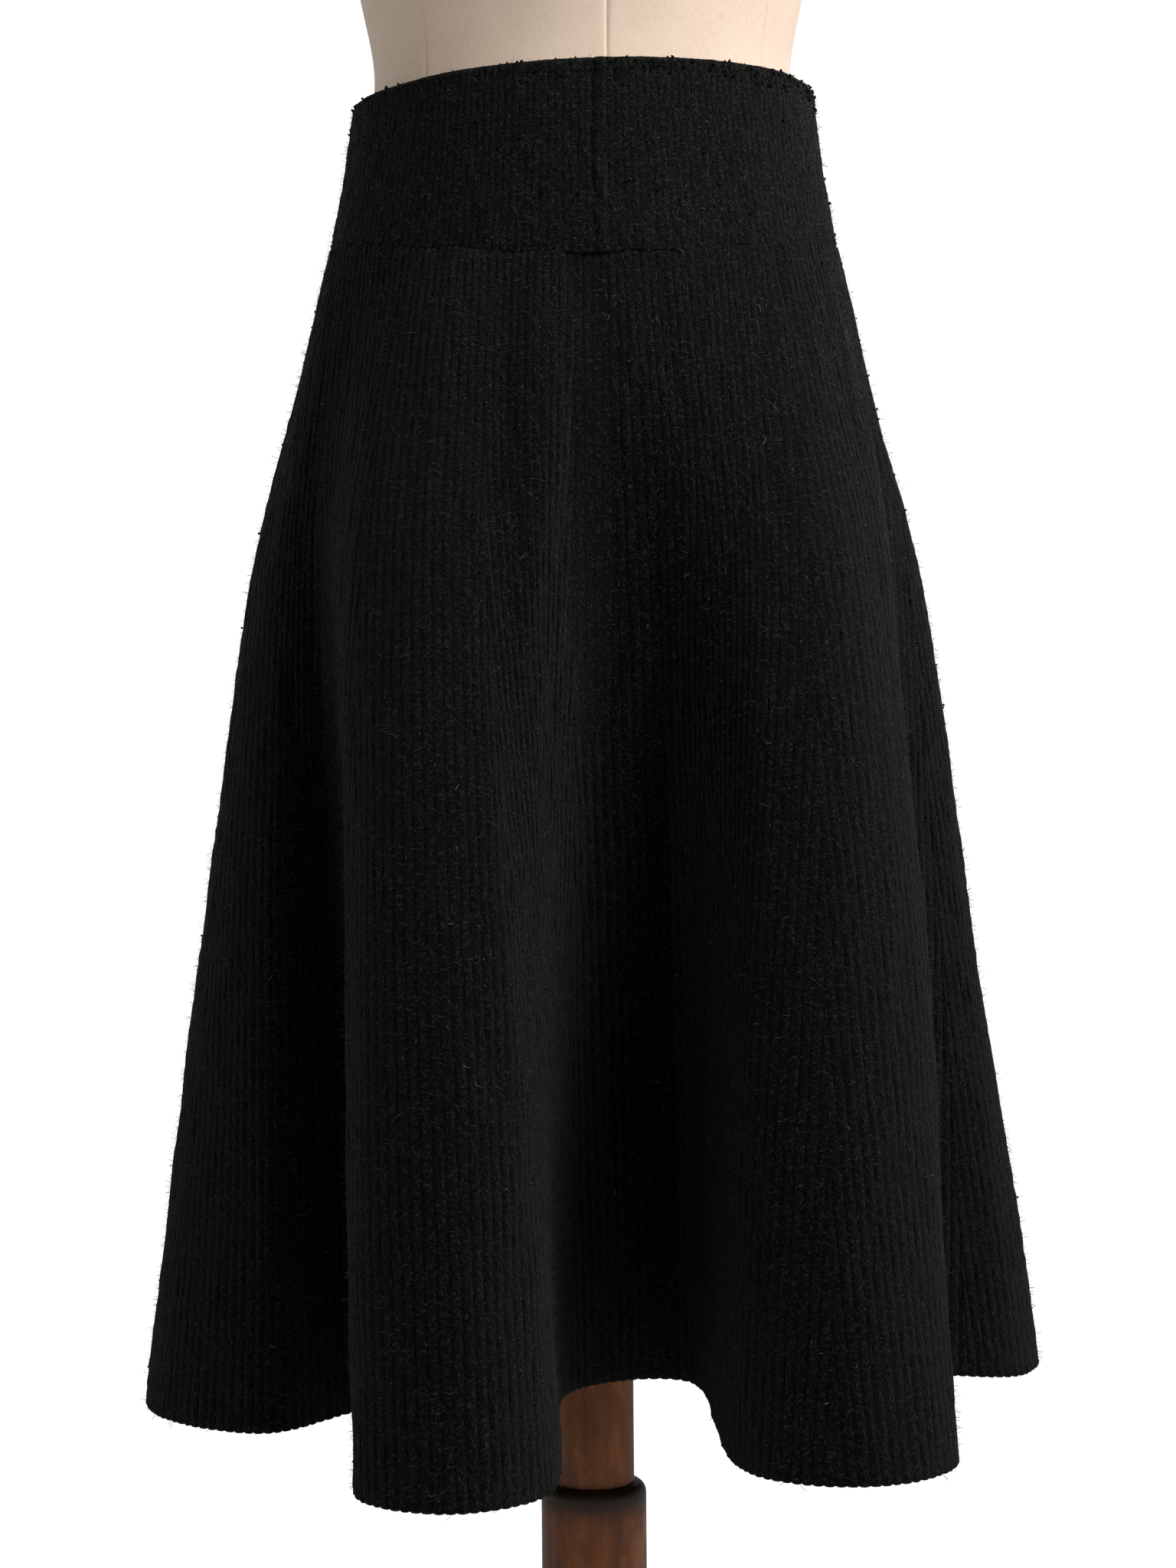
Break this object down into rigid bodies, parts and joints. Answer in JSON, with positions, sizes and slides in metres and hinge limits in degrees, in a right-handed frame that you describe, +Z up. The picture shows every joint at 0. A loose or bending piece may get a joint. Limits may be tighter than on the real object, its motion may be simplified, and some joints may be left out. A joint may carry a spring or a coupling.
{
  "type": "a-line skirt on dress form",
  "caption": "Dark rib-knit A-line skirt with a deep waistband and soft hem folds, worn by a limbless linen dress form on a turned wooden stand.",
  "frame": {"origin": "on the floor, under the middle of the whole part's box", "axes": "+Z up; the skirt's front faces -Y; +X to the right as the front is seen"},
  "size_m": [0.4836, 0.531, 1.4423],
  "materials": {
    "rib_knit": "brushed",
    "linen": "matte",
    "wood": "satin"
  },
  "bodies": {
    "root": {"waistband": "rib_knit", "skirt_front": "rib_knit", "skirt_back": "rib_knit", "form_torso": "linen", "form_cap": "wood", "stand_shaft": "wood", "stand_column": "wood", "stand_base": "wood"}
  },
  "joints": []
}
